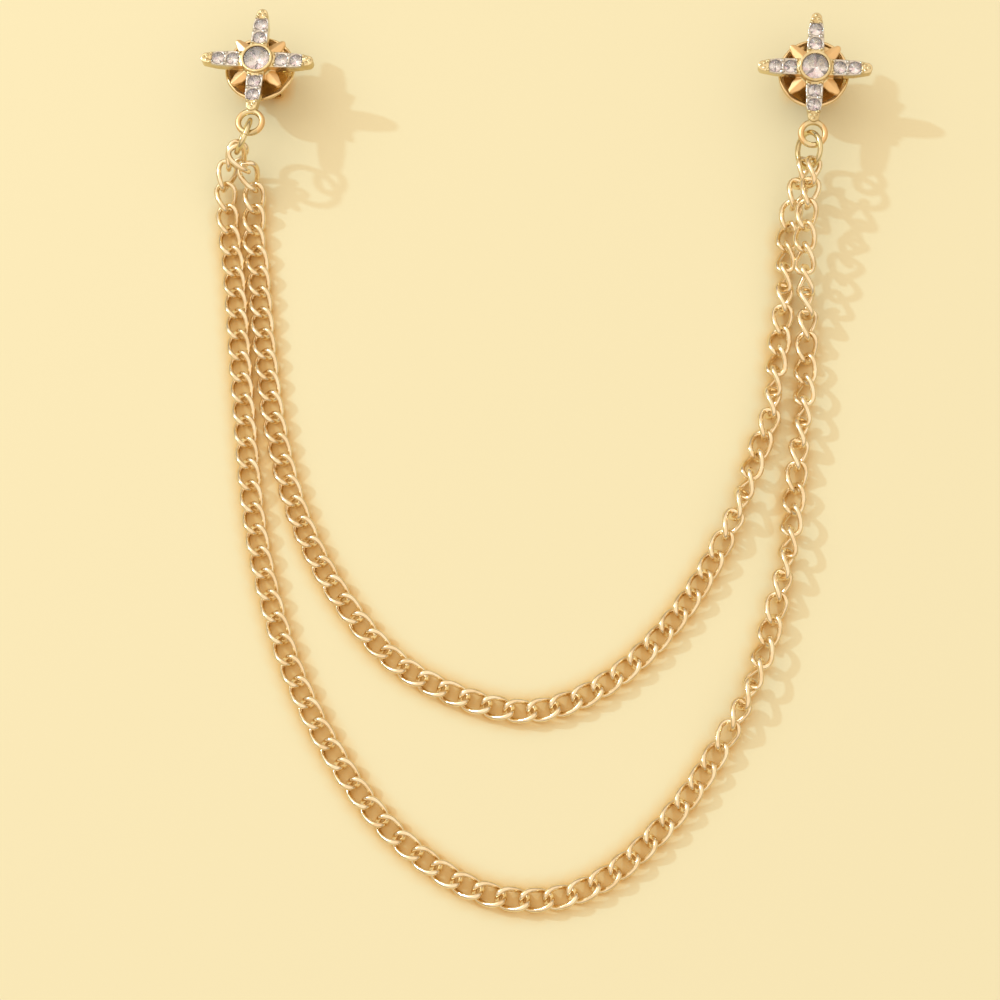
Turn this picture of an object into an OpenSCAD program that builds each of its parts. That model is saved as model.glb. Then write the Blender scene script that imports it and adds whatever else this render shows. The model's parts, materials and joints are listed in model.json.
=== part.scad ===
// Lapel chain: two gem-set star brooches on posts with round butterfly clutches, joined by a long
// and a short curb chain. It lies as if laid on a table: X to the right, Y up the page, Z up, and
// the origin is on the table under the middle of the whole piece. Millimetres and degrees.

/* [Star brooch] */
// Distance between the two clutches
brooch_spacing = 86.2; // [84:0.2:90]
// How far the clutches stand above the middle of the page
brooch_y = 59.3; // [58:0.1:61]
// Centre of the star to the tip of an arm
arm_length = 8.8; // [8.2:0.1:9.6]
// Width of an arm beside the bezel
arm_root_width = 2.7; // [2.5:0.1:3.1]
// Width of an arm at its outer stone
arm_stone_width = 2.4; // [2.3:0.05:2.7]
// Width of an arm at its tip
arm_tip_width = 1.7; // [1.4:0.1:2.1]
// Thickness of the cast arms
arm_thickness = 1.5; // [1.3:0.1:1.9]
// Height of the bezel's rim above the arms
bezel_rise = 0.5; // [0.3:0.1:0.8]
// Wall of the bezel at its rim
bezel_wall = 0.42; // [0.3:0.02:0.55]
// Centre of the star to the tip of a diagonal ray
ray_length = 5.3; // [4.8:0.1:6.2]
// Width of a diagonal ray at its root
ray_width = 2.1; // [1.8:0.1:2.6]
// Radius of a bead that holds the stones
bead_r = 0.28; // [0.2:0.02:0.32]

/* [Stones] */
// Diameter of the round stone in the middle
centre_stone_d = 4.0; // [3.6:0.1:4.4]
// Diameter of each small stone on the arms
arm_stone_d = 1.95; // [1.7:0.05:2.05]
// Centre of the star to the inner stone of an arm
inner_stone_at = 3.8; // [3.7:0.05:4.0]
// Distance between the two stones of an arm
stone_pitch = 2.3; // [2.2:0.05:2.45]
// Gap between a stone and its seat
stone_gap = 0.04; // [0.03:0.01:0.08]

/* [Post and clutch] */
// Diameter of the post
post_d = 1.0; // [0.8:0.05:1.2]
// Height of the star's back above the foot of the clutch
back_height = 7.2; // [6.9:0.1:8]
// Diameter of the clutch's round pad
pad_d = 11; // [9:0.5:13]
// Height of the pad's rim above the foot of the clutch
pad_rim_height = 5.8; // [5.4:0.1:6]
// Depth of the dish inside the pad's rolled lip
pad_depth = 0.7; // [0.6:0.05:0.9]
// Thickness of the clutch's sheet metal
sheet = 0.35; // [0.25:0.05:0.45]
// Width of the butterfly spring's strip
wing_width = 4.2; // [3:0.2:5]
// Outer width of each rolled wing
wing_loop = 2.6; // [2.2:0.1:3]
// Gap round the post inside the clutch
post_gap = 0.1; // [0.06:0.02:0.2]

/* [Rings] */
// Outer diameter of the eye cast on the lower arm
eye_d = 4.6; // [4.4:0.1:5]
// Wire of the eye
eye_wire = 0.93; // [0.8:0.02:1]
// How far the eye's centre lies past the tip of its arm
eye_past_tip = 1.75; // [1.6:0.05:2]
// Outer diameter of a jump ring
ring_d = 6.2; // [6:0.1:6.5]
// Wire of a jump ring
ring_wire = 0.85; // [0.75:0.02:0.9]

/* [Chain] */
// Wire of a link
link_wire = 0.74; // [0.5:0.02:0.76]
// Length of a link along the middle of its wire
link_length = 4.5; // [4.35:0.05:4.65]
// Width of a link across the middle of its wire
link_width = 2.95; // [2.75:0.05:3.1]
// Distance from one link to the next
link_pitch = 3.42; // [3.35:0.01:3.5]
// How far each end of a link is twisted out of its middle, to the left or the right
link_twist = -50; // [-55:1:-45]

/* [Hidden] */
$fn = 48;
SIDES = ["left", "right"];

gold = [0.86, 0.68, 0.38];
pale_gold = [0.93, 0.82, 0.60];
stone_white = [0.92, 0.90, 0.96];

// Lean of each brooch on its clutch, about X and about Y, and its turn in the page, left then right
lean_x = [-3.4, 5.4];
lean_y = [-3.9, -3.6];
turn = [-4, -3.3];
// How far the middle between the brooches lies right of the origin
brooch_shift = 0.6;

// Star
arm_top = back_height + arm_thickness;
bezel_top = arm_top + bezel_rise;
bezel_r = centre_stone_d / 2 + stone_gap + bezel_wall;
bead_gap = 0.05;
// Angle off an arm's line of the beads before its inner stone and past its outer one
inner_bead_angle = 45;
outer_bead_angle = 32;
// Grains at an arm's tip: places as shares of the land past the outer stone, and half the pair's width
grain_r = 0.2;
grain_pair_share = 0.39;
grain_tip_share = 0.71;
grain_aside = 0.38;
// Diagonal rays: ridge and edge heights, droop, and where and how wide the leaf's shoulder is
ray_ridge = 0.8;
ray_edge = 0.45;
ray_droop = 8;
ray_tip_r = 0.55;
ray_shoulder_at = 0.75;
ray_shoulder_width = 0.86;
solder_d = 2.6;
solder_thickness = 0.2;

// Stones: table, crown, girdle and pavilion as shares of the diameter
table_share = 0.56;
crown_share = 0.14;
girdle_share = 0.03;
pavilion_share = 0.36;
stone_sides = 8;
centre_stone_sides = 16;
centre_girdle = bezel_top - 0.35;
arm_girdle = arm_top - 0.15;

// Post and clutch
post_tip = 0.15;
notch_at = 2.3;
bore_r = post_d / 2 + post_gap;
clutch_gap = 0.1;
lip_wire = 0.6;
collar_r = 1.2;
collar_rise = 0.25;
bowl_steps = 5;
pad_base = pad_rim_height - pad_depth - sheet;
wing_height = pad_base - clutch_gap;
wing_at = bore_r + wing_loop / 2;

// Eyes and jump rings
eye_at = arm_length + eye_past_tip;
eye_r = (eye_d - eye_wire) / 2;
ring_r = (ring_d - ring_wire) / 2;
// Each ring hangs from just above its eye's middle along a heading, at a dip, spun about that line
ring_rise = 0.3;
ring_heading = [-124, -104];
ring_dip = [40, 33];
ring_spin = [67, 52];

// Links: corners round the loop and round the wire; below 1 the square fills out the shoulders
link_corners = 10;
wire_sides = 5;
link_square = 0.7;
hook_gap = 0.24;

// Points of each chain's route from the left ring to the right one, chosen by hand from the photo:
// X and Y on the table and the rise of the link's lowest point above it
outer_points = [
    [-48, 42.6, 1.2], [-47.8, 37.5, 0.3], [-47.2, 32, 0.1], [-46.5, 27, 0], [-44.5, 6.7, 0],
    [-42.5, -10.3, 0], [-39.7, -23.4, 0], [-35.4, -36, 0], [-29, -48, 0], [-20.8, -58.4, 0],
    [-10, -66, 0], [0.5, -67.8, 0], [10.2, -64.4, 0], [20, -55.2, 0.1], [27.8, -43.7, 0.2],
    [33, -32.6, 0.2], [36.9, -18.5, 0.2], [38.5, -8.6, 0.2], [39.6, 0, 0.2], [40.5, 6.5, 0.2],
    [41.2, 15, 0.5], [41.4, 20.6, 1.1], [41.1, 25.3, 2.1], [41.1, 30.5, 3.4], [41.4, 35.5, 4.4]];
inner_points = [
    [-43.8, 41.8, 1.3], [-43.6, 38, 0.5], [-43.6, 33, 0.1], [-42.9, 29, 0.1], [-41.4, 15, 0],
    [-39.2, 1.2, 0], [-35.2, -12.2, 0], [-28.9, -23.9, 0], [-20, -33.9, 0], [-7.6, -39.7, 0],
    [2, -40.1, 0], [12.2, -35, 0], [21.7, -25.1, 0.1], [29, -12.5, 0.3], [33, -2, 0.3],
    [35.2, 4, 0.2], [36, 9.3, 0.2], [37, 15.4, 0.2], [37.7, 20.3, 0.2], [38.2, 25.5, 0.2],
    [38.6, 30.7, 0.4], [39.3, 36, 1.1]];
// Where each chain hooks onto the left and the right ring, as an angle round the ring
outer_hooks = [-17, 46];
inner_hooks = [25, -7];
// Each chain rolls evenly near its ends: the roll at the left and at the right ring, and the length
// of chain over which it dies away
outer_rolls = [[-65, 14], [790, 92]];
inner_rolls = [[-40, 14], [620, 62]];
outer_route = whole_route(outer_points, outer_hooks, outer_rolls);
inner_route = whole_route(inner_points, inner_hooks, inner_rolls);
route_steps = 8;

function rot_x(p, a) = [p.x, p.y * cos(a) - p.z * sin(a), p.y * sin(a) + p.z * cos(a)];
function rot_y(p, a) = [p.x * cos(a) + p.z * sin(a), p.y, p.z * cos(a) - p.x * sin(a)];
function rot_z(p, a) = [p.x * cos(a) - p.y * sin(a), p.x * sin(a) + p.y * cos(a), p.z];
function unit(v) = v / norm(v);

// Foot of a clutch on the table, raised so that its lowest edge just rests there
function brooch_base(i) = [
    (i - 0.5) * brooch_spacing + brooch_shift,
    brooch_y,
    wing_at * abs(sin(lean_y[i])) + wing_width / 2 * abs(sin(lean_x[i]))];

// A point of a brooch's own frame, carried to where the brooch stands
function brooch_point(i, p) =
    brooch_base(i) + rot_y(rot_x(rot_z(p, turn[i]), lean_x[i]), lean_y[i]);

// Where a jump ring crosses its eye, and a point of the ring an angle round from its far side
function ring_hang(i) =
    brooch_point(i, [0, -eye_at, back_height + arm_thickness / 2]) + [0, 0, ring_rise];
function ring_point(i, a) =
    let (p = [ring_r + ring_r * cos(a), ring_r * sin(a), 0])
    ring_hang(i) + rot_z(rot_y(rot_x(p, ring_spin[i]), ring_dip[i]), ring_heading[i]);

module at_brooch(i) {
    translate(brooch_base(i)) rotate([lean_x[i], lean_y[i], 0]) rotate([0, 0, turn[i]]) children();
}

module torus(middle_r, wire) {
    rotate_extrude() translate([middle_r, 0]) circle(d = wire);
}

// Corner k of a link's flat oval, from -1 to 1 each way
function corner(k) =
    let (a = 360 * k / link_corners)
    [sign(cos(a)) * pow(abs(cos(a)), link_square), sign(sin(a)) * pow(abs(sin(a)), link_square)];

// Height of a link's middle above its lowest point
function half_height(roll) = link_wire / 2 + max([for (k = [0:link_corners - 1])
    let (c = corner(k)) abs(sin(roll + link_twist * c.x) * c.y * link_width / 2)]);

// Route point of the link that hooks onto a ring, on the way to the next point
function hook(i, angle, roll, next) =
    let (
        wire_at = ring_point(i, angle),
        aim = [next.x, next.y, next.z + half_height(roll)],
        c = wire_at + unit(aim - wire_at) * ((link_length - ring_wire - link_wire) / 2 - hook_gap))
    [c.x, c.y, c.z - half_height(roll)];

// Smooth curve through the points, which passes through each of them
function smooth(a, b, c, d, t) =
    0.5 * (2 * b + (c - a) * t + (2 * a - 5 * b + 4 * c - d) * t * t
        + (3 * b - a - 3 * c + d) * t * t * t);
function curve(points) =
    let (last = len(points) - 1,
        r = concat([2 * points[0] - points[1]], points, [2 * points[last] - points[last - 1]]))
    concat(
        [for (i = [0:last - 1], k = [0:route_steps - 1])
            smooth(r[i], r[i + 1], r[i + 2], r[i + 3], k / route_steps)],
        [points[last]]);

// Length of the way from the first point to each point
function way(points) = [for (i = 0, l = 0; i < len(points);
    l = l + (i + 1 < len(points) ? norm(points[i + 1] - points[i]) : 0), i = i + 1) l];

// Roll of a link that lies this far from the left and from the right end of its chain
function roll_at(from_left, from_right, rolls) =
    rolls[0][0] * max(0, 1 - from_left / rolls[0][1])
        + rolls[1][0] * max(0, 1 - from_right / rolls[1][1]);

// Points of a whole chain, with a hook at each end, and the rolls of its two ends
function whole_route(points, hooks, rolls) = [
    concat(
        [hook(0, hooks[0], rolls[0][0], points[0])],
        points,
        [hook(1, hooks[1], rolls[1][0], points[len(points) - 1])]),
    rolls];

// Centre, direction and roll of every link along a route, spaced evenly near the chosen pitch
function links(route) =
    let (
        low = curve(route[0]),
        low_run = way(low),
        last = len(low) - 1,
        rolls = [for (l = low_run) roll_at(l, low_run[last] - l, route[1])],
        middle = [for (i = [0:last]) low[i] + [0, 0, half_height(rolls[i])]],
        run = way(middle),
        at = [for (k = [0:2]) [for (i = [0:last]) [run[i], middle[i][k]]]],
        roll = [for (i = [0:last]) [run[i], rolls[i]]],
        count = round(run[last] / link_pitch),
        step = run[last] / count)
    [for (i = [0:count])
        let (
            a = [for (k = [0:2]) lookup(max(0, (i - 0.5) * step), at[k])],
            b = [for (k = [0:2]) lookup(min(run[last], (i + 0.5) * step), at[k])])
        [[for (k = [0:2]) lookup(i * step, at[k])], unit(b - a), lookup(i * step, roll)]];

// Silhouette of one arm along X, with a rounded tip
module arm_outline() {
    tip_r = arm_tip_width / 2;
    tip_at = arm_length - tip_r;
    shoulder = inner_stone_at + stone_pitch;
    polygon([
        [0, -arm_root_width / 2], [bezel_r, -arm_root_width / 2], [shoulder, -arm_stone_width / 2],
        [tip_at, -tip_r], [tip_at, tip_r],
        [shoulder, arm_stone_width / 2], [bezel_r, arm_root_width / 2], [0, arm_root_width / 2]]);
    translate([tip_at, 0]) circle(r = tip_r);
}

// Beads along one arm: a pair before, between and after its stones, and three grains at the tip
module arm_beads() {
    reach = arm_stone_d / 2 + bead_r + bead_gap;
    outer_stone_at = inner_stone_at + stone_pitch;
    land_from = outer_stone_at + arm_stone_d / 2;
    land = arm_length - land_from;
    for (side = [-1, 1]) {
        bead_places = [
            [inner_stone_at - reach * cos(inner_bead_angle), reach * sin(inner_bead_angle)],
            [inner_stone_at + stone_pitch / 2, arm_stone_width / 2 - bead_r - bead_gap],
            [outer_stone_at + reach * cos(outer_bead_angle), reach * sin(outer_bead_angle)]];
        for (p = bead_places) translate([p.x, side * p.y, arm_top]) sphere(r = bead_r);
        translate([land_from + grain_pair_share * land, side * grain_aside, arm_top]) sphere(r = grain_r);
    }
    translate([land_from + grain_tip_share * land, 0, arm_top]) sphere(r = grain_r);
}

// A low ridged petal along X at the back of the star, broad to its shoulder and drooping to its tip
module ray() {
    tip_at = ray_length - ray_tip_r;
    edge = [
        [0, ray_width / 2], [bezel_r, ray_width / 2],
        [ray_shoulder_at * ray_length, ray_shoulder_width * ray_width / 2], [tip_at, ray_tip_r]];
    translate([bezel_r, 0, 0]) rotate([0, ray_droop, 0]) translate([-bezel_r, 0, 0]) intersection() {
        linear_extrude(ray_ridge) {
            polygon(concat(edge, [for (k = [3:-1:0]) [edge[k].x, -edge[k].y]]));
            translate([tip_at, 0]) circle(r = ray_tip_r);
        }
        rotate([90, 0, 90]) linear_extrude(ray_length) polygon([
            [-ray_width / 2, 0], [ray_width / 2, 0], [ray_width / 2, ray_edge],
            [0, ray_ridge], [-ray_width / 2, ray_edge]]);
    }
}

// Recess for a round stone whose girdle lies at the origin
module stone_seat(d, depth) {
    cylinder(d = d + 2 * stone_gap, h = depth + 1);
    translate([0, 0, -d * pavilion_share - stone_gap])
        cylinder(r1 = 0.15, r2 = d / 2 + stone_gap, h = d * pavilion_share + stone_gap);
}

// Straight post with a notch for the clutch's spring and a blunt point
module post() {
    r = post_d / 2;
    notch_r = r - 0.1;
    rotate_extrude() polygon([
        [0, post_tip], [r * 0.5, post_tip], [r, post_tip + 0.5],
        [r, notch_at - 0.3], [notch_r, notch_at - 0.2], [notch_r, notch_at + 0.2], [r, notch_at + 0.3],
        [r, back_height + 0.1], [0, back_height + 0.1]]);
}

module star(i) {
    color(pale_gold) at_brooch(i) {
        difference() {
            union() {
                for (a = [0:90:270]) rotate(a) translate([0, 0, back_height]) {
                    linear_extrude(arm_thickness) arm_outline();
                    rotate(45) ray();
                }
                translate([0, 0, back_height]) cylinder(r = bezel_r, h = bezel_top - back_height);
                for (a = [0:90:270]) rotate(a) arm_beads();
                translate([0, -eye_at, back_height + arm_thickness / 2]) torus(eye_r, eye_wire);
            }
            translate([0, 0, centre_girdle]) stone_seat(centre_stone_d, bezel_rise);
            for (a = [0:90:270], n = [0, 1])
                rotate(a) translate([inner_stone_at + n * stone_pitch, 0, arm_girdle])
                    stone_seat(arm_stone_d, arm_top - arm_girdle);
        }
        translate([0, 0, back_height - solder_thickness]) cylinder(d = solder_d, h = solder_thickness + 0.05);
        post();
    }
}

// Round stone with a flat table, cut crown, thin girdle and pointed pavilion, girdle at the origin
module brilliant(d, sides) {
    function ring(r, z, shift) =
        [for (k = [0:sides - 1]) let (a = 360 * (k + shift) / sides) [r * cos(a), r * sin(a), z]];
    levels = [
        ring(d / 2, 0, 0), ring(d / 2, d * girdle_share, 0),
        ring(d * table_share / 2, d * (girdle_share + crown_share), 0.5)];
    culet = 3 * sides;
    polyhedron(
        points = concat(levels[0], levels[1], levels[2], [[0, 0, -d * pavilion_share]]),
        faces = concat(
            [for (k = [0:sides - 1]) let (n = (k + 1) % sides) [culet, n, k]],
            [for (k = [0:sides - 1]) let (n = (k + 1) % sides) [k, n, sides + n, sides + k]],
            [for (k = [0:sides - 1]) let (n = (k + 1) % sides) [sides + k, sides + n, 2 * sides + k]],
            [for (k = [0:sides - 1]) let (n = (k + 1) % sides) [sides + n, 2 * sides + n, 2 * sides + k]],
            [[for (k = [0:sides - 1]) 2 * sides + k]]));
}

module centre_stone(i) {
    color(stone_white) at_brooch(i) translate([0, 0, centre_girdle])
        brilliant(centre_stone_d, centre_stone_sides);
}

// Stone n of a star: 1 and 2 on the right arm, then round by the top, left and lower arms
module arm_stone(i, n) {
    arm = floor((n - 1) / 2);
    color(stone_white) at_brooch(i) rotate(90 * arm)
        translate([inner_stone_at + ((n - 1) % 2) * stone_pitch, 0, arm_girdle])
            brilliant(arm_stone_d, stone_sides);
}

// Pressed round pad: a shallow bowl with a rolled lip and a short collar round the post
module clutch_pad(i) {
    lip_at = [(pad_d - lip_wire) / 2, pad_rim_height - lip_wire / 2];
    bowl_rise = lip_at.y - sheet / 2 - pad_base;
    bowl = [for (k = [0:bowl_steps])
        let (x = collar_r + (lip_at.x - collar_r) * k / bowl_steps)
        [x, pad_base + bowl_rise * pow((x - collar_r) / (lip_at.x - collar_r), 2)]];
    color(gold) at_brooch(i) {
        rotate_extrude() polygon(concat(
            [[bore_r, pad_base]], bowl,
            [for (k = [bowl_steps:-1:0]) bowl[k] + [0, sheet]],
            [[collar_r, pad_base + sheet + collar_rise], [bore_r, pad_base + sheet + collar_rise]]));
        translate([0, 0, lip_at.y]) torus(lip_at.x, lip_wire);
    }
}

// Outline of one rolled wing, as seen along the strip's edge
module wing_outline(inset) {
    r = wing_loop / 2;
    translate([0, r]) circle(r = r - inset);
    translate([0, wing_height - r]) circle(r = r - inset);
    translate([inset - r, r]) square([wing_loop - 2 * inset, wing_height - wing_loop]);
}

// Butterfly spring under the pad: one strip rolled into a wing on each side of the post
module clutch_wings(i) {
    color(gold) at_brooch(i) difference() {
        rotate([90, 0, 0]) linear_extrude(wing_width, center = true) {
            for (side = [-1, 1]) translate([side * wing_at, 0]) difference() {
                wing_outline(0);
                wing_outline(sheet);
                // The strip's end stays free of the plate beside the post
                translate([side > 0 ? -wing_loop / 2 - 0.1 : 0, wing_height - wing_loop / 2])
                    square([wing_loop / 2 + 0.1, wing_loop / 2 - sheet - 0.05]);
            }
            translate([-wing_at, wing_height - sheet]) square([2 * wing_at, sheet]);
        }
        cylinder(r = bore_r, h = wing_height + 1);
    }
}

module jump_ring(i) {
    color(pale_gold)
        translate(ring_hang(i)) rotate([0, 0, ring_heading[i]]) rotate([0, ring_dip[i], 0])
            rotate([ring_spin[i], 0, 0]) translate([ring_r, 0, 0]) torus(ring_r, ring_wire);
}

// One link: a closed oval of wire whose ends are twisted to either side of its middle
module link(centre, along, roll) {
    side = unit(cross([0, 0, 1], along));
    up = cross(along, side);
    loop = [for (k = [0:link_corners - 1]) let (c = corner(k), a = roll + link_twist * c.x)
        along * (c.x * link_length / 2) + (side * cos(a) + up * sin(a)) * (c.y * link_width / 2)];
    skin = [for (k = [0:link_corners - 1])
        let (
            t = unit(loop[(k + 1) % link_corners] - loop[(k + link_corners - 1) % link_corners]),
            n = unit(loop[k] - t * (loop[k] * t)),
            b = cross(t, n))
        each [for (w = [0:wire_sides - 1]) let (a = 360 * w / wire_sides)
            centre + loop[k] + (n * cos(a) + b * sin(a)) * (link_wire / 2)]];
    polyhedron(
        points = skin,
        faces = [for (k = [0:link_corners - 1], w = [0:wire_sides - 1])
            let (
                k2 = (k + 1) % link_corners,
                w2 = (w + 1) % wire_sides,
                p = [k * wire_sides + w, k2 * wire_sides + w, k2 * wire_sides + w2, k * wire_sides + w2])
            each [[p[0], p[1], p[2]], [p[0], p[2], p[3]]]]);
}

module chain(route) {
    color(gold) for (l = links(route)) link(l[0], l[1], l[2]);
}

for (i = [0, 1]) {
    star(i);
    centre_stone(i);
    for (n = [1:8])
        arm_stone(i, n);
    clutch_pad(i);
    clutch_wings(i);
    jump_ring(i);
}
chain(outer_route);  // chain_outer
chain(inner_route);  // chain_inner
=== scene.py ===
import json
import math

import bmesh
import bpy
import numpy as np
from mathutils import Matrix, Vector


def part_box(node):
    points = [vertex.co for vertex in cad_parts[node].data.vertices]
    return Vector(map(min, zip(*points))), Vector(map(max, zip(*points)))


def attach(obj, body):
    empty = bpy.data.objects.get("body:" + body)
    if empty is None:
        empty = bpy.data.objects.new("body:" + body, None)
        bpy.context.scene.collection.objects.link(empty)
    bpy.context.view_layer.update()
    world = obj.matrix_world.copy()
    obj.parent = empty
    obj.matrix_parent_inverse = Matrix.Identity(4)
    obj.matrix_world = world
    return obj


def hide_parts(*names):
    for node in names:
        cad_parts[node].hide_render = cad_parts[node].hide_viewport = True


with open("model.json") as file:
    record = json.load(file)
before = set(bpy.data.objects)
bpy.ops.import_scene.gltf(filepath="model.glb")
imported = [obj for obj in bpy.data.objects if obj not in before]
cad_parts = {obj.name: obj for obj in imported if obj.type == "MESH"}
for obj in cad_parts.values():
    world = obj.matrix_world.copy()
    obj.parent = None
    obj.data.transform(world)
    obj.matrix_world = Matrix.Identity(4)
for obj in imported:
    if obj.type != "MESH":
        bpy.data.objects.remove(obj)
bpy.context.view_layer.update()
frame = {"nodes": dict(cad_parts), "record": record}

# Star settings
# Each brooch is one casting in zinc alloy, plated pale champagne gold: four arms, a round bezel,
# four petals behind them, the eye for the ring and the post. Tumbling rounds every edge.
MM = 0.001
SIDES = ("left", "right")


def linear(code):
    """An sRGB hex colour as linear red, green, blue and alpha."""
    parts = [int(code[k:k + 2], 16) / 255 for k in (1, 3, 5)]
    return [p / 12.92 if p <= 0.04045 else ((p + 0.055) / 1.055) ** 2.4 for p in parts] + [1.0]


def add(tree, kind, inputs=None, **settings):
    """Adds a node; an input given as another node's socket is linked, any other is set."""
    node = tree.nodes.new(kind)
    for name, value in settings.items():
        setattr(node, name, value)
    for name, value in (inputs or {}).items():
        if isinstance(value, bpy.types.NodeSocket):
            tree.links.new(value, node.inputs[name])
        else:
            node.inputs[name].default_value = value
    return node


def gold_plate(name, deep, pale, roughness, patch_mm, grain_mm, grain_height_mm):
    """Polished gold plate. Its tone drifts between deep and pale over patches, and a grain drawn
    coarser than real polishing marks, so that it shows, ruffles the highlights."""
    material = bpy.data.materials.new(name)
    material.use_nodes = True
    tree = material.node_tree
    shader = tree.nodes["Principled BSDF"]
    shader.inputs["Metallic"].default_value = 1.0
    place = add(tree, "ShaderNodeTexCoord").outputs["Object"]
    patches = add(tree, "ShaderNodeTexNoise", {
        "Vector": place, "Scale": 1 / (patch_mm * MM), "Detail": 2.0})
    tone = add(tree, "ShaderNodeMapRange", {
        "Value": patches.outputs["Fac"], "From Min": 0.35, "From Max": 0.65})
    colour = add(tree, "ShaderNodeMix", {
        0: tone.outputs["Result"], 6: linear(deep), 7: linear(pale)}, data_type="RGBA")
    gloss = add(tree, "ShaderNodeMapRange", {
        "Value": patches.outputs["Fac"], "From Min": 0.3, "From Max": 0.7,
        "To Min": roughness * 1.25, "To Max": roughness * 0.8})
    grain = add(tree, "ShaderNodeTexNoise", {
        "Vector": place, "Scale": 1 / (grain_mm * MM), "Detail": 3.0})
    bump = add(tree, "ShaderNodeBump", {
        "Height": grain.outputs["Fac"], "Strength": 1.0, "Distance": grain_height_mm * MM})
    tree.links.new(colour.outputs[2], shader.inputs["Base Color"])
    tree.links.new(gloss.outputs["Result"], shader.inputs["Roughness"])
    tree.links.new(bump.outputs["Normal"], shader.inputs["Normal"])
    return material


def plate_over(material, name, colour, roughness):
    """Gives a material another colour and gloss where a mesh attribute says so."""
    tree = material.node_tree
    shader = tree.nodes["Principled BSDF"]
    share = add(tree, "ShaderNodeAttribute", attribute_name=name).outputs["Fac"]
    under = {key: shader.inputs[key].links[0].from_socket for key in ("Base Color", "Roughness")}
    tone = add(tree, "ShaderNodeMix", {
        0: share, 6: under["Base Color"], 7: linear(colour)}, data_type="RGBA")
    gloss = add(tree, "ShaderNodeMix", {0: share, 2: under["Roughness"], 3: roughness})
    tree.links.new(tone.outputs[2], shader.inputs["Base Color"])
    tree.links.new(gloss.outputs[0], shader.inputs["Roughness"])


def merged_copy(node, scale):
    """The solid of a node as a bmesh with its loose triangles joined, at a scale."""
    mesh = bmesh.new()
    mesh.from_mesh(frame["nodes"][node].data)
    bmesh.ops.scale(mesh, vec=(scale, scale, scale), verts=mesh.verts)
    bmesh.ops.remove_doubles(mesh, verts=mesh.verts, dist=1e-6 * scale)
    return mesh


def piece_from(name, mesh, materials):
    """A new object at the origin from a bmesh or a mesh."""
    if isinstance(mesh, bmesh.types.BMesh):
        data = bpy.data.meshes.new(name)
        mesh.to_mesh(data)
        mesh.free()
    else:
        data = mesh
    for material in materials:
        data.materials.append(material)
    piece = bpy.data.objects.new(name, data)
    bpy.context.scene.collection.objects.link(piece)
    return piece


def finished(piece):
    """Turns a piece's modifiers into plain mesh."""
    graph = bpy.context.evaluated_depsgraph_get()
    mesh = bpy.data.meshes.new_from_object(piece.evaluated_get(graph))
    piece.modifiers.clear()
    piece.data = mesh
    return piece


def middle(node):
    """Centre of a node's box."""
    low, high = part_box(node)
    return (low + high) / 2


def brooch_place(side):
    """Carries a brooch's own millimetres to the frame: origin at the clutch's foot, post as Z."""
    grip_height = 6.4
    grip = next(m for m in frame["record"]["mounts"] if m["name"] == "lapel_" + side)
    up = Vector(grip["axis"]).normalized()
    right = middle(f"arm_stone_{side}_2") - middle(f"centre_stone_{side}")
    right = (right - up * right.dot(up)).normalized()
    turn = Matrix((right, up.cross(right), up)).transposed().to_4x4()
    foot = Vector(grip["pos_m"]) - up * grip_height * MM
    return Matrix.Translation(foot) @ turn @ Matrix.Scale(MM, 4)


def rhodium_share(spot):
    """How far a point is white plated: all round the arms' stones, on top of the arms alone."""
    inner, outer, deepest, fade = 2.75, 7.15, 8.15, 0.2
    along = max(abs(spot.x), abs(spot.y))
    inside = min(along - inner, outer - along, spot.z - deepest) / fade
    return min(1.0, max(0.0, inside))


def petal_satin_and_reflection_share(spot):
    """How far a point is on a petal, out of the tumbling grit's reach, so satin; its deeper orange
    gold is partly painted reflection.
    """
    arm_half, bezel_r, fade = 1.25, 2.6, 0.2
    off_centre = math.hypot(spot.x, spot.y)
    inside = min(abs(spot.x) - arm_half, abs(spot.y) - arm_half, off_centre - bezel_r) / fade
    return min(1.0, max(0.0, inside))


# Cast and tumbled: bright, with highlights a little blurred; the arms' tops are dipped in rhodium,
# which is whiter and sharper, and the petals keep the dull satin of the cast skin, with a deeper
# orange tone on them that is partly painted reflection
cast_gold = gold_plate(
    "tumbled_cast_gold_plate", deep="#CCB684", pale="#E4D3A6", roughness=0.25,
    patch_mm=3.0, grain_mm=0.5, grain_height_mm=0.003)
plate_over(cast_gold, "rhodium", "#CFC8BC", roughness=0.2)
# Petals: satin gloss, and a deeper orange colour that is partly painted reflection
plate_over(cast_gold, "satin_and_painted_reflection", "#E6C088", roughness=0.4)
star_voxel_mm = 0.08
for side in SIDES:
    star = piece_from("star_setting_" + side, merged_copy("star_" + side, 1 / MM), [cast_gold])
    skin = star.modifiers.new("skin", "REMESH")
    skin.mode = "VOXEL"
    skin.voxel_size = star_voxel_mm
    skin.use_smooth_shade = True
    tumble = star.modifiers.new("tumble", "SMOOTH")
    tumble.factor = 0.5
    tumble.iterations = 3
    finished(star)
    star.data.transform(Matrix.Scale(MM, 4))
    own = brooch_place(side).inverted()
    for name, share in (("rhodium", rhodium_share), ("satin_and_painted_reflection", petal_satin_and_reflection_share)):
        layer = star.data.attributes.new(name, "FLOAT", "POINT")
        layer.data.foreach_set("value", [share(own @ v.co) for v in star.data.vertices])
    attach(star, "root")
    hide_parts("star_" + side)

# Stones
# Clear glass brilliants with a mirror foil on the pavilion, glued into their seats: one large stone
# in each bezel and two small ones on each arm. They are ground on a wheel, so every facet is flat.


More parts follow.
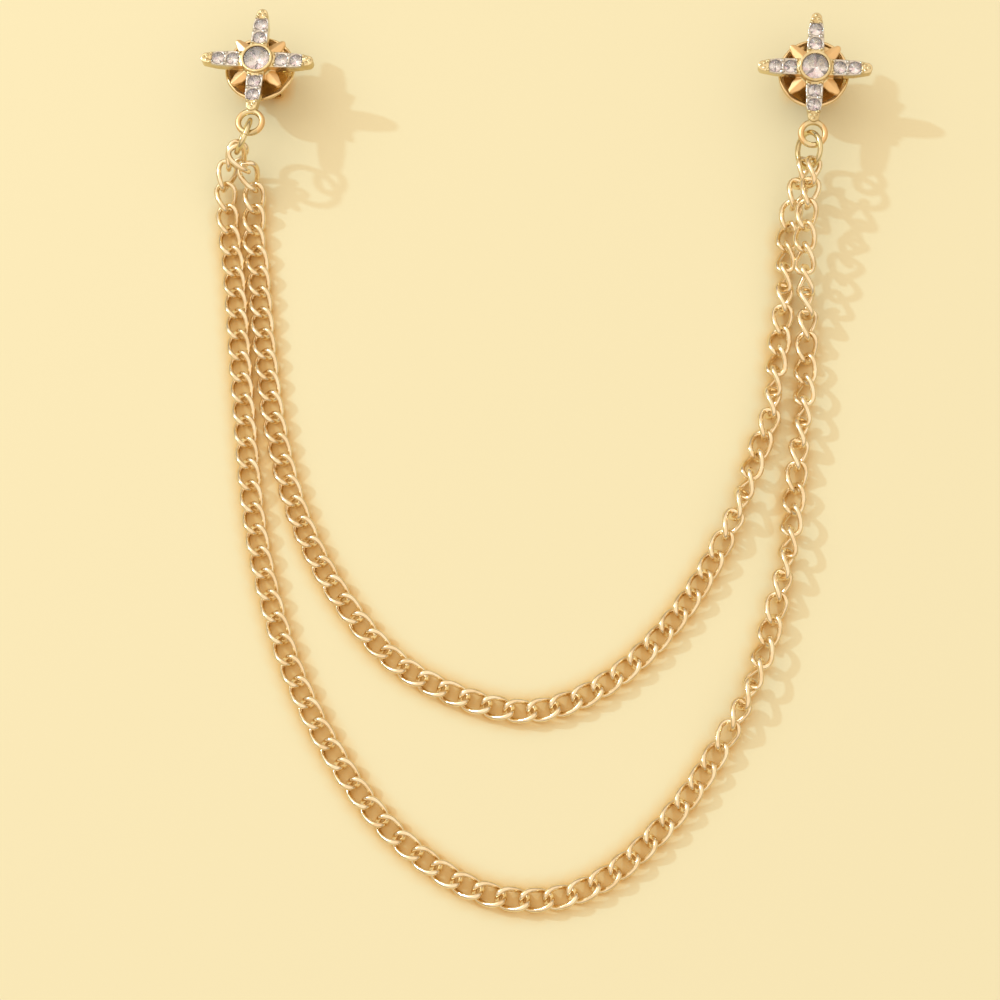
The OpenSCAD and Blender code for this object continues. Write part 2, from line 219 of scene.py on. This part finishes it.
def brilliant(mesh, diameter, place):
    """Adds a round brilliant to a bmesh: table, star, kite and girdle facets over a foiled back."""
    radius = diameter / 2
    table_r = 0.56 * radius
    star_r = 0.78 * radius
    lower_r = 0.30 * radius
    girdle_top = 0.03 * diameter
    crown_top = 0.17 * diameter
    culet_depth = 0.36 * diameter
    half_step = math.cos(math.pi / 8)
    # Each facet is given a tone, which the glass and foil turn into a painted reflection
    tone = mesh.faces.layers.float.get("tone") or mesh.faces.layers.float.new("tone")
    reflection_tone_per_mm = 0.37
    golden_step = 0.381966
    start = place.translation.x / MM * reflection_tone_per_mm

    def ring(count, r, z, shift=0.0):
        angles = [math.tau * (k + shift) / count for k in range(count)]
        return [mesh.verts.new(place @ Vector((r * math.cos(a), r * math.sin(a), z)))
                for a in angles]

    crown_rise = crown_top - girdle_top
    star_z = girdle_top + crown_rise * (radius - star_r * half_step) / (radius - table_r)
    lower_z = -culet_depth * (1 - lower_r * half_step / radius)
    table = ring(8, table_r, crown_top)
    points = ring(8, star_r, star_z, 0.5)
    upper = ring(16, radius, girdle_top)
    under = ring(16, radius, 0.0)
    pavilion = ring(8, lower_r, lower_z, 0.5)
    culet = mesh.verts.new(place @ Vector((0, 0, -culet_depth)))
    glass = [mesh.faces.new(table)]
    foil = []
    for k in range(8):
        n, a, b, c = (k + 1) % 8, 2 * k, 2 * k + 1, (2 * k + 2) % 16
        glass.append(mesh.faces.new((table[k], points[k], table[n])))
        glass.append(mesh.faces.new((table[k], points[k - 1], upper[a], points[k])))
        glass.append(mesh.faces.new((points[k], upper[a], upper[b])))
        glass.append(mesh.faces.new((points[k], upper[b], upper[c])))
        foil.append(mesh.faces.new((upper[a], under[a], under[b], upper[b])))
        foil.append(mesh.faces.new((upper[b], under[b], under[c], upper[c])))
        foil.append(mesh.faces.new((pavilion[k], under[b], under[a])))
        foil.append(mesh.faces.new((pavilion[k], under[c], under[b])))
        foil.append(mesh.faces.new((culet, pavilion[k], under[a], pavilion[k - 1])))
    for k, face in enumerate(glass + foil):
        face[tone] = (start + k * golden_step) % 1.0
    for face in foil:
        face.material_index = 1
    bmesh.ops.recalc_face_normals(mesh, faces=glass + foil)


def clear_glass(name):
    """Lead glass, flat polished: clear, with a trace of haze, its facets tinted white to faint
    lilac as painted reflection.
    """
    material = bpy.data.materials.new(name)
    material.use_nodes = True
    tree = material.node_tree
    shader = tree.nodes["Principled BSDF"]
    shader.inputs["Transmission Weight"].default_value = 0.9
    shader.inputs["IOR"].default_value = 1.55
    tone = add(tree, "ShaderNodeAttribute", attribute_name="tone").outputs["Fac"]
    # Painted reflection: each facet white to faint lilac by its tone
    colour = add(tree, "ShaderNodeMix", {
        0: tone, 6: linear("#FFFFFF"), 7: linear("#FBF6F9")}, data_type="RGBA")
    place = add(tree, "ShaderNodeTexCoord").outputs["Object"]
    cloud_mm = 1.2
    clouds = add(tree, "ShaderNodeTexNoise", {
        "Vector": place, "Scale": 1 / (cloud_mm * MM), "Detail": 1.0})
    haze = add(tree, "ShaderNodeMapRange", {
        "Value": clouds.outputs["Fac"], "To Min": 0.0, "To Max": 0.03})
    tree.links.new(colour.outputs[2], shader.inputs["Base Color"])
    tree.links.new(haze.outputs["Result"], shader.inputs["Roughness"])
    return material


def mirror_foil(name):
    """Silvered back of a stone: each facet gets a painted reflection, a tone of white, grey or
    lilac.
    """
    material = bpy.data.materials.new(name)
    material.use_nodes = True
    tree = material.node_tree
    shader = tree.nodes["Principled BSDF"]
    shader.inputs["Metallic"].default_value = 1.0
    tone = add(tree, "ShaderNodeAttribute", attribute_name="tone").outputs["Fac"]
    colour = add(tree, "ShaderNodeValToRGB", {0: tone})
    colour.color_ramp.interpolation = "CONSTANT"
    # Painted reflections: white, pale grey, dark grey and lilac facet tones
    stops = [
        (0.0, "#FFFDFA"), (0.28, "#E2DEDA"), (0.4, "#FFFCF6"), (0.6, "#8A8686"), (0.7, "#FFFDFA"),
        (0.86, "#F8E4EA")]
    for at, _ in stops[1:]:
        colour.color_ramp.elements.new(at)
    for stop, (at, code) in zip(colour.color_ramp.elements, stops):
        stop.color = linear(code)
    place = add(tree, "ShaderNodeTexCoord").outputs["Object"]
    wrinkle_mm = 0.8
    clouds = add(tree, "ShaderNodeTexNoise", {
        "Vector": place, "Scale": 1 / (wrinkle_mm * MM), "Detail": 2.0})
    wrinkles = add(tree, "ShaderNodeMapRange", {
        "Value": clouds.outputs["Fac"], "To Min": 0.18, "To Max": 0.35})
    tree.links.new(colour.outputs[0], shader.inputs["Base Color"])
    tree.links.new(wrinkles.outputs["Result"], shader.inputs["Roughness"])
    return material


crown_glass = clear_glass("polished_lead_glass")
foil_back = mirror_foil("silvered_foil")
centre_stone_d = 4.0
centre_girdle = 8.85
arm_stone_d = 1.95
arm_girdle = 8.55
inner_stone_at = 3.8
stone_pitch = 2.3
for side in SIDES:
    place = brooch_place(side)
    mesh = bmesh.new()
    brilliant(mesh, centre_stone_d, place @ Matrix.Translation((0, 0, centre_girdle)))
    stone = piece_from("bezel_stone_" + side, mesh, [crown_glass, foil_back])
    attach(stone, "root")
    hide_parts("centre_stone_" + side)
    mesh = bmesh.new()
    for arm in range(4):
        turn = Matrix.Rotation(arm * math.pi / 2, 4, "Z")
        for n in range(2):
            seat = Matrix.Translation((inner_stone_at + n * stone_pitch, 0, arm_girdle))
            brilliant(mesh, arm_stone_d, place @ turn @ seat)
    stones = piece_from("arm_stones_" + side, mesh, [crown_glass, foil_back])
    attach(stones, "root")
    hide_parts(*[f"arm_stone_{side}_{n}" for n in range(1, 9)])

# Clutches
# Each is a butterfly spring rolled from one brass strip, capped with a round pad pressed to a
# shallow bowl with a rolled rim. Both are bright plated.

# Pressed sheet keeps the die's smooth face, so the bowl mirrors the star and is dark under it
pressed_gold = gold_plate(
    "bright_pressed_gold_plate", deep="#DEC08C", pale="#ECD2A2", roughness=0.2,
    patch_mm=4.0, grain_mm=1.2, grain_height_mm=0.002)


def lathe(profile, steps, place):
    """A bmesh turned from a closed profile of radius and height."""
    mesh = bmesh.new()
    rings = []
    for k in range(steps):
        turn = Matrix.Rotation(math.tau * k / steps, 4, "Z")
        rings.append([mesh.verts.new(place @ turn @ Vector((r, 0, z))) for r, z in profile])
    for k in range(steps):
        here, there = rings[k], rings[(k + 1) % steps]
        for n in range(len(profile)):
            m = (n + 1) % len(profile)
            mesh.faces.new((here[n], there[n], there[m], here[m]))
    bmesh.ops.recalc_face_normals(mesh, faces=mesh.faces)
    return mesh


def pad_profile():
    """Section of a pad: smooth bowl, rolled rim and the collar round the post."""
    pad_r, rim_top, depth, sheet = 5.5, 5.8, 0.7, 0.35
    bore_r, collar_r, collar_rise, collar_foot, collar_edge = 0.6, 1.2, 0.25, 0.08, 0.1
    roll_r, roll_start, roll_end, roll_step = 0.3, -120, 160, 20
    bowl_reach, steps = 0.8, 16
    base = rim_top - depth - sheet
    roll_at = Vector((pad_r - roll_r, rim_top - roll_r))
    rise = roll_at.y - sheet / 2 - base
    bowl_edge = roll_at.x - roll_r * bowl_reach
    bowl = [collar_r + (bowl_edge - collar_r) * k / steps for k in range(1, steps + 1)]
    bowl = [(r, base + rise * ((r - collar_r) / (roll_at.x - collar_r)) ** 2) for r in bowl]
    roll = [tuple(roll_at + roll_r * Vector((math.cos(a), math.sin(a))))
            for a in (math.radians(d) for d in range(roll_start, roll_end + 1, roll_step))]
    return [(bore_r, base), *bowl, *roll, *[(r, z + sheet) for r, z in reversed(bowl)],
            (collar_r, base + sheet + collar_foot),
            (collar_r - collar_edge, base + sheet + collar_rise),
            (bore_r, base + sheet + collar_rise)]


pad_steps = 96
for side in SIDES:
    body = "clutch_" + side
    disc = lathe(pad_profile(), pad_steps, brooch_place(side))
    pad = piece_from("clutch_disc_" + side, disc, [pressed_gold])
    pad.data.shade_smooth()
    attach(pad, body)
    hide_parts("clutch_pad_" + side)

    mesh = merged_copy("clutch_wings_" + side, 1 / MM)
    bmesh.ops.dissolve_limit(mesh, angle_limit=math.radians(1), verts=mesh.verts, edges=mesh.edges)
    wings = piece_from("butterfly_spring_" + side, mesh, [pressed_gold])
    edge = wings.modifiers.new("sheared_edge", "BEVEL")
    edge.width = 0.06
    edge.segments = 2
    edge.limit_method = "ANGLE"
    edge.angle_limit = math.radians(40)
    finished(wings)
    wings.data.transform(Matrix.Scale(MM, 4))
    wings.data.shade_smooth()
    wings.data.set_sharp_from_angle(angle=math.radians(35))
    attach(wings, body)
    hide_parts("clutch_wings_" + side)

# Jump rings
# Each is one turn of plated brass wire, opened with pliers to take the eye and both chains and
# pressed shut again, so its two cut ends still meet in a fine joint.

# Drawn wire is smooth, so the highlights along it are narrow and clear
ring_gold = gold_plate(
    "polished_ring_gold_plate", deep="#CFBB8A", pale="#E8D8AA", roughness=0.15,
    patch_mm=2.5, grain_mm=0.5, grain_height_mm=0.002)


def principal_axes(corners):
    """Centre of some corners and their principal axes as columns, longest first, right-handed."""
    points = np.array([corner.co for corner in corners])
    centre = points.mean(axis=0)
    _, axes = np.linalg.eigh(np.cov((points - centre).T))
    axes = axes[:, ::-1]
    if np.linalg.det(axes) < 0:
        axes[:, 2] = -axes[:, 2]
    return centre, axes


wire_r = 0.425 * MM
ring_r = 2.675 * MM
half_joint = math.radians(0.9)
steps, wire_steps = 72, 16
for side in SIDES:
    solid = merged_copy("jump_ring_" + side, 1.0)
    centre, axes = principal_axes(solid.verts)
    solid.free()
    mesh = bmesh.new()
    turns = []
    for k in range(steps + 1):
        a = half_joint + (math.tau - 2 * half_joint) * k / steps
        out = Vector(axes[:, 0]) * math.cos(a) + Vector(axes[:, 1]) * math.sin(a)
        turns.append([mesh.verts.new(Vector(centre) + out * (ring_r + wire_r * math.cos(b))
                                     + Vector(axes[:, 2]) * wire_r * math.sin(b))
                      for b in (math.tau * n / wire_steps for n in range(wire_steps))])
    for here, there in zip(turns, turns[1:]):
        for n in range(wire_steps):
            m = (n + 1) % wire_steps
            mesh.faces.new((here[n], there[n], there[m], here[m]))
    ends = [mesh.faces.new(turns[0]), mesh.faces.new(turns[-1])]
    bmesh.ops.recalc_face_normals(mesh, faces=mesh.faces)
    ring = piece_from("wire_ring_" + side, mesh, [ring_gold])
    ring.data.shade_smooth()
    ring.data.set_sharp_from_angle(angle=math.radians(60))
    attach(ring, "root")
    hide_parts("jump_ring_" + side)

# Chains
# Two curb chains of one pattern: each link is a loop of brass wire, soldered shut and twisted so
# that it lies flat through its neighbours. The whole chain is plated last.

# Tumbling leaves the wire a softer shine than the rings have, so the highlights spread a little
chain_gold = gold_plate(
    "tumbled_wire_gold_plate", deep="#EAD2A6", pale="#F8E7C4", roughness=0.18,
    patch_mm=2.0, grain_mm=0.4, grain_height_mm=0.003)


def link_tree():
    """Places a twisted link of wire at every point of a mesh, turned by the point's own angles."""
    tree = bpy.data.node_groups.new("curb_links", "GeometryNodeTree")
    socket = tree.interface.new_socket
    socket("Places", in_out="INPUT", socket_type="NodeSocketGeometry")
    for name, value in (("Length", 4.5 * MM), ("Width", 2.95 * MM), ("Wire", 0.83 * MM),
                        ("Twist", math.radians(-50)), ("Shoulder", 0.7)):
        socket(name, in_out="INPUT", socket_type="NodeSocketFloat").default_value = value
    socket("Plate", in_out="INPUT", socket_type="NodeSocketMaterial")
    socket("Links", in_out="OUTPUT", socket_type="NodeSocketGeometry")
    given = add(tree, "NodeGroupInput").outputs

    def maths(operation, *values):
        return add(tree, "ShaderNodeMath", dict(enumerate(values)), operation=operation).outputs[0]

    def squared(value):
        shoulder = maths("POWER", maths("ABSOLUTE", value), given["Shoulder"])
        return maths("MULTIPLY", maths("SIGN", value), shoulder)

    circle = add(tree, "GeometryNodeCurvePrimitiveCircle", {"Resolution": 28, "Radius": 1.0})
    at = add(tree, "ShaderNodeSeparateXYZ", {0: add(tree, "GeometryNodeInputPosition").outputs[0]})
    along = squared(at.outputs["X"])
    across = maths("MULTIPLY", squared(at.outputs["Y"]), maths("MULTIPLY", given["Width"], 0.5))
    angle = maths("MULTIPLY", along, given["Twist"])
    spot = add(tree, "ShaderNodeCombineXYZ", {
        "X": maths("MULTIPLY", along, maths("MULTIPLY", given["Length"], 0.5)),
        "Y": maths("MULTIPLY", across, maths("COSINE", angle)),
        "Z": maths("MULTIPLY", across, maths("SINE", angle))})
    loop = add(tree, "GeometryNodeSetPosition", {
        "Geometry": circle.outputs["Curve"], "Position": spot.outputs[0]})
    section = add(tree, "GeometryNodeCurvePrimitiveCircle", {
        "Resolution": 10, "Radius": maths("MULTIPLY", given["Wire"], 0.5)})
    link = add(tree, "GeometryNodeCurveToMesh", {
        "Curve": loop.outputs["Geometry"], "Profile Curve": section.outputs["Curve"]})
    turn = add(tree, "GeometryNodeInputNamedAttribute", {"Name": "turn"}, data_type="FLOAT_VECTOR")
    placed = add(tree, "GeometryNodeInstanceOnPoints", {
        "Points": given["Places"], "Instance": link.outputs["Mesh"],
        "Rotation": add(tree, "FunctionNodeEulerToRotation", {0: turn.outputs[0]}).outputs[0]})
    solid = add(tree, "GeometryNodeRealizeInstances", {0: placed.outputs[0]})
    dressed = add(tree, "GeometryNodeSetMaterial", {
        0: solid.outputs[0], "Material": given["Plate"]})
    add(tree, "NodeGroupOutput", {0: dressed.outputs[0]})
    return tree


def link_places(node):
    """Centre and angles of every link of a chain's solid."""
    solid = merged_copy(node, 1 / MM)
    left = set(solid.verts)
    places = []
    for first in solid.verts:
        if first not in left:
            continue
        left.remove(first)
        link = [first]
        for corner in link:
            near = [edge.other_vert(corner) for edge in corner.link_edges]
            near = [other for other in near if other in left]
            left.difference_update(near)
            link += near
        centre, axes = principal_axes(link)
        places.append((Vector(centre) * MM, Matrix(axes.tolist()).to_euler()))
    solid.free()
    return sorted(places, key=lambda p: tuple(p[0]))


links = link_tree()
for name in ("outer", "inner"):
    places = link_places("chain_" + name)
    mesh = bpy.data.meshes.new("curb_chain_" + name)
    mesh.from_pydata([centre for centre, turn in places], [], [])
    turns = mesh.attributes.new("turn", "FLOAT_VECTOR", "POINT")
    turns.data.foreach_set("vector", [a for centre, turn in places for a in turn])
    chain = piece_from("curb_chain_" + name, mesh, [])
    maker = chain.modifiers.new("links", "NODES")
    maker.node_group = links
    plate = next(s for s in links.interface.items_tree if s.name == "Plate").identifier
    maker[plate] = chain_gold
    finished(chain)
    chain.data.shade_smooth()
    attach(chain, "root")
    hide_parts("chain_" + name)

# Stage
# A wide sheet of cream card lies under the chains. A low lamp at the left throws the long shadows,
# a window beside it lights the metal, and a broad white ceiling stands over dim walls.


def card(name, colour, glow, glow_mm, fibre_mm):
    """Matte card with a faint fibre, tinted where close wires would throw gold light on it."""
    material = bpy.data.materials.new(name)
    material.use_nodes = True
    tree = material.node_tree
    shader = tree.nodes["Principled BSDF"]
    shader.inputs["Roughness"].default_value = 0.9
    open_sky = add(tree, "ShaderNodeAmbientOcclusion", {"Distance": glow_mm * MM}, samples=2)
    warmth = add(tree, "ShaderNodeMapRange", {
        "Value": open_sky.outputs["AO"],
        "From Min": 0.45, "From Max": 0.9, "To Min": 1.0, "To Max": 0.0})
    tone = add(tree, "ShaderNodeMix", {
        0: warmth.outputs["Result"], 6: linear(colour), 7: linear(glow)}, data_type="RGBA")
    tree.links.new(tone.outputs[2], shader.inputs["Base Color"])
    shader.inputs["Specular IOR Level"].default_value = 0.1
    place = add(tree, "ShaderNodeTexCoord").outputs["Object"]
    fibre = add(tree, "ShaderNodeTexNoise", {
        "Vector": place, "Scale": 1 / (fibre_mm * MM), "Detail": 2.0})
    fibre_height_mm = 0.05
    bump = add(tree, "ShaderNodeBump", {
        "Height": fibre.outputs["Fac"], "Strength": 0.05, "Distance": fibre_height_mm * MM})
    tree.links.new(bump.outputs["Normal"], shader.inputs["Normal"])
    return material


floor_half = 2.0
mesh = bmesh.new()
bmesh.ops.create_grid(mesh, x_segments=1, y_segments=1, size=floor_half)
cream_card = card("cream_card", "#E4D9B0", glow="#EBBE70", glow_mm=2.2, fibre_mm=0.6)
floor = piece_from("floor", mesh, [cream_card])


def lamp(name, kind, power, direction, distance, colour, **settings):
    """A light on a direction from the middle of the object, aimed back at it."""
    data = bpy.data.lights.new(name, kind)
    data.energy = power
    data.color = linear(colour)[:3]
    for key, value in settings.items():
        setattr(data, key, value)
    light = bpy.data.objects.new(name, data)
    light.location = Vector(direction).normalized() * distance
    light.rotation_euler = (-Vector(direction)).to_track_quat("-Z", "Y").to_euler()
    bpy.context.scene.collection.objects.link(light)


lamp("low_lamp", "SUN", power=1.2, direction=(-0.66, 0.345, 0.49), distance=1.0,
     colour="#ACDDFF", angle=math.radians(2.0))
lamp("window_wall", "AREA", power=0.42, direction=(-0.7, 0.5, 0.75), distance=0.5,
     colour="#FFFFFF", size=0.4)
world = bpy.data.worlds.new("studio")
bpy.context.scene.world = world
world.use_nodes = True
tree = world.node_tree
sky = tree.nodes["Background"]
sky.inputs["Color"].default_value = linear("#FFF0DF")
outward = add(tree, "ShaderNodeTexCoord").outputs["Generated"]
height = add(tree, "ShaderNodeSeparateXYZ", {0: outward}).outputs["Z"]
ceiling = add(tree, "ShaderNodeMapRange", {
    "Value": height, "From Min": 0.25, "From Max": 0.6, "To Min": 0.45, "To Max": 1.2})
tree.links.new(ceiling.outputs["Result"], sky.inputs["Strength"])

camera_tilt = math.radians(15)
lens_mm = 79.2
camera_at = Vector((-5.5, -94.0, 319.6)) * MM
camera = bpy.data.objects.new("camera", bpy.data.cameras.new("camera"))
camera.data.lens = lens_mm
camera.data.clip_start = 0.01
camera.location = camera_at
camera.rotation_euler = (camera_tilt, 0, 0)
bpy.context.scene.collection.objects.link(camera)
bpy.context.scene.camera = camera
bpy.context.scene.view_settings.view_transform = "Standard"
